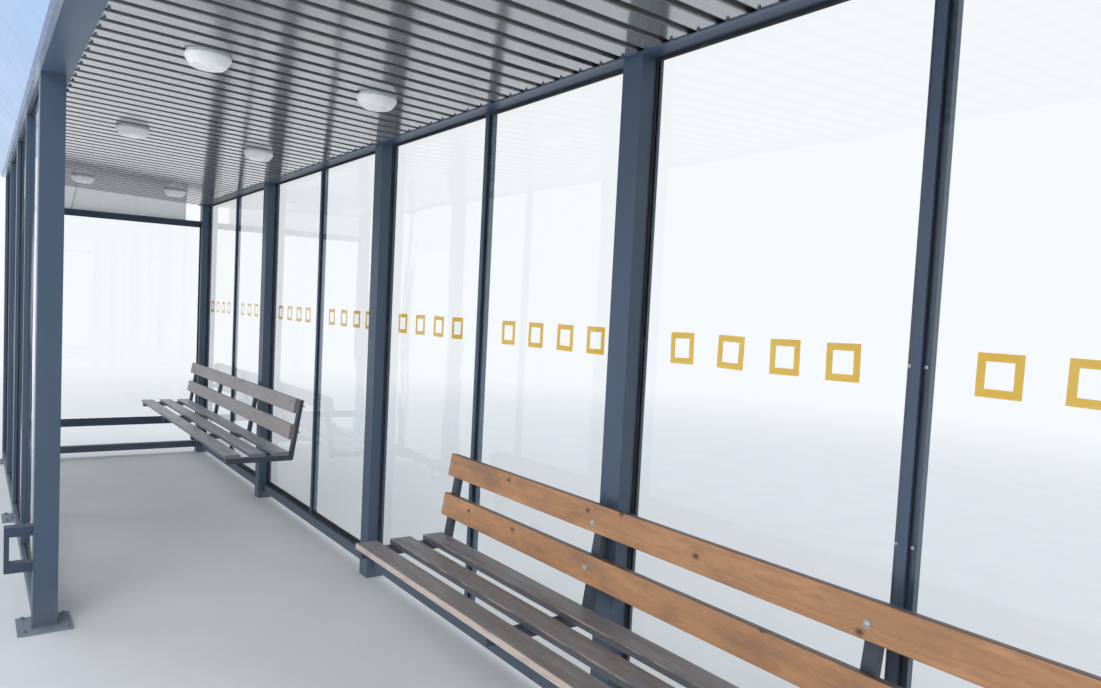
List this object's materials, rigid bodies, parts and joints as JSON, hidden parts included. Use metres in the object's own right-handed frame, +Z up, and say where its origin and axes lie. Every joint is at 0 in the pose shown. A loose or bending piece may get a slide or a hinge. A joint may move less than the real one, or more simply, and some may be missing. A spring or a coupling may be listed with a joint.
{
  "type": "glazed bus shelter",
  "caption": "Long glazed bus shelter with a painted square-tube frame, corrugated ceiling, leaning front fascia and two slatted benches on its back posts.",
  "frame": {"origin": "middle of the whole outline, on the floor", "axes": "+X along the length towards the open half of the front, +Y from the front to the glazed back, +Z up"},
  "size_m": [8.62, 2.0505, 2.814],
  "materials": {
    "frame_paint": "dark blue-grey paint, satin",
    "glass": "clear",
    "ceiling_sheet": "glossy grey coating",
    "roof_sheet": "grey coating",
    "lamp_base": "satin",
    "lamp_dome": "opal",
    "panel": "glossy pale blue-grey",
    "galvanised": "zinc coated",
    "seat_wood": "weathered grey-brown",
    "grey_wood": "weathered grey-brown",
    "orange_wood": "clear-coated orange-brown pine"
  },
  "bodies": {
    "root": {"post_back_1": "frame_paint", "post_back_2": "frame_paint", "post_back_3": "frame_paint", "post_back_4": "frame_paint", "post_back_5": "frame_paint", "post_front_1": "frame_paint", "post_front_2": "frame_paint", "post_front_3": "frame_paint", "post_front_4": "frame_paint", "base_plates": "frame_paint", "mullions_back": "frame_paint", "mullions_front": "frame_paint", "beam_front": "frame_paint", "beam_back": "frame_paint", "rafters": "frame_paint", "sill_back": "frame_paint", "sill_front": "frame_paint", "sill_ends": "frame_paint", "end_rails_left": "frame_paint", "end_rails_right": "frame_paint", "glass_back_1": "glass", "glass_back_2": "glass", "glass_back_3": "glass", "glass_back_4": "glass", "glass_front_1": "glass", "glass_front_2": "glass", "glass_end_left": "glass", "glass_end_right": "glass", "ceiling_sheet": "ceiling_sheet", "ceiling_ledges": "frame_paint", "lamp_bases": "lamp_base", "lamp_domes": "lamp_dome", "roof_sheet": "roof_sheet", "fascia_front": "panel", "fascia_brackets": "galvanised", "fascia_end_left": "panel", "fascia_end_right": "panel", "bench_left_seat": "seat_wood", "bench_left_back": "grey_wood", "bench_left_frames": "frame_paint", "bench_right_seat": "seat_wood", "bench_right_back": "orange_wood", "bench_right_frames": "frame_paint", "bin_bracket": "frame_paint"}
  },
  "joints": []
}
